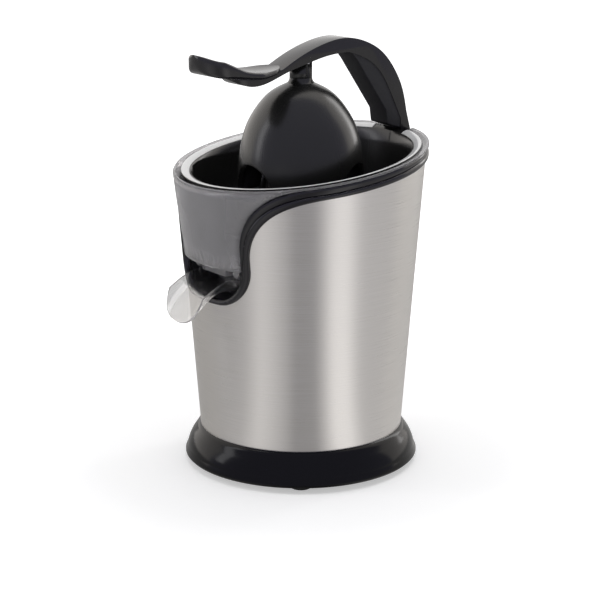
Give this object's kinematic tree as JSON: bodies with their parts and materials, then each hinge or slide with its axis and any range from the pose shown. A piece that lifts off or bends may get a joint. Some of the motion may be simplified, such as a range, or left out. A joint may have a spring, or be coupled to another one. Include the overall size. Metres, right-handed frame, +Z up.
{
  "type": "citrus juicer",
  "caption": "Electric lever citrus press: tapered steel body on a flared base, clear collector with flip spout, strainer, driven reamer and a hinged lever with a pressing dome.",
  "frame": {"origin": "on the reamer's axis, at the standing plane under the feet", "axes": "+X to the user's right along the hinge pin, +Y from the spout to the hinge, +Z up the reamer's axis"},
  "size_m": [0.176, 0.1904, 0.2936],
  "materials": {
    "steel": "brushed round the body",
    "gloss_black": "glossy black",
    "satin_black": "satin black",
    "clear": "clear, lightly smoked",
    "rubber": "matt black",
    "pin_steel": "ground",
    "plate_steel": "plain grey",
    "motor_paint": "grey paint",
    "iron": "rough",
    "brass": "turned",
    "gear_plastic": "natural white"
  },
  "bodies": {
    "housing": {"base_skirt": "satin_black", "bottom_plate": "satin_black", "rubber_feet": "rubber", "bottom_screws": "pin_steel", "cord_gland": "rubber", "steel_shell": "steel", "edge_trim": "gloss_black", "hinge_pin": "pin_steel", "inner_deck": "satin_black", "shaft_bush": "brass", "shaft_seal": "rubber", "gear_plate": "plate_steel", "motor_can": "motor_paint", "motor_end_cap": "satin_black", "motor_screws": "pin_steel", "idler_axle": "pin_steel", "micro_switch": "satin_black", "switch_bracket": "plate_steel", "return_spring": "pin_steel", "juice_collector": "clear", "strainer": "gloss_black", "spout_pins": "pin_steel", "spout_bay": "satin_black", "shaft_tower": "satin_black", "collector_base": "clear", "outlet_neck": "clear", "strainer_sieve": "gloss_black"},
    "lever": {"lever_arm": "gloss_black", "arm_web": "satin_black", "grip_paddle": "gloss_black", "dome_pin": "pin_steel"},
    "press_bell": {"press_dome": "gloss_black", "dome_stem": "gloss_black"},
    "drip_spout": {"spout": "clear"},
    "rotor": {"motor_shaft": "pin_steel", "motor_rotor": "iron", "cooling_fan": "gear_plastic", "motor_pinion": "brass"},
    "idler": {"idler_gear": "gear_plastic"},
    "drive": {"drive_gear": "gear_plastic"},
    "reamer": {"drive_shaft": "pin_steel", "reamer_cone": "gloss_black"},
    "plunger": {"switch_plunger": "gear_plastic"}
  },
  "joints": [
    {"name": "lever_lift", "type": "hinge", "parent": "housing", "child": "lever", "pos_m": [0, 0.0848, 0.2228], "axis": [-1, 0, 0], "range_deg": [0, 66]},
    {"name": "dome_tilt", "type": "hinge", "parent": "lever", "child": "press_bell", "pos_m": [0, 0, 0.2802], "axis": [1, 0, 0], "range_deg": [-4, 4]},
    {"name": "spout_flip", "type": "hinge", "parent": "housing", "child": "drip_spout", "pos_m": [0, -0.067, 0.1455], "axis": [-1, 0, 0], "range_deg": [0, 35]},
    {"name": "motor_spin", "type": "hinge", "parent": "housing", "child": "rotor", "pos_m": [0, 0.038, 0.06], "axis": [0, 0, 1], "continuous": true},
    {"name": "idler_spin", "type": "hinge", "parent": "housing", "child": "idler", "pos_m": [0.02038, 0.02532, 0.095], "axis": [0, 0, 1], "continuous": true},
    {"name": "drive_spin", "type": "hinge", "parent": "housing", "child": "drive", "pos_m": [0, 0, 0.104], "axis": [0, 0, 1], "continuous": true},
    {"name": "cone_press", "type": "slide", "parent": "drive", "child": "reamer", "axis": [0, 0, -1], "range_m": [0, 0.0025], "stiffness_N_per_m": 2500, "springref_m": -0.001, "deforming": ["return_spring"]},
    {"name": "plunger_press", "type": "slide", "parent": "housing", "child": "plunger", "axis": [0, 0, -1], "range_m": [0, 0.0025]}
  ],
  "couplings": [
    {"joint": "idler_spin", "follows": "motor_spin", "ratio": -0.33333},
    {"joint": "drive_spin", "follows": "motor_spin", "ratio": 0.1},
    {"joint": "plunger_press", "follows": "cone_press", "ratio": 1}
  ]
}
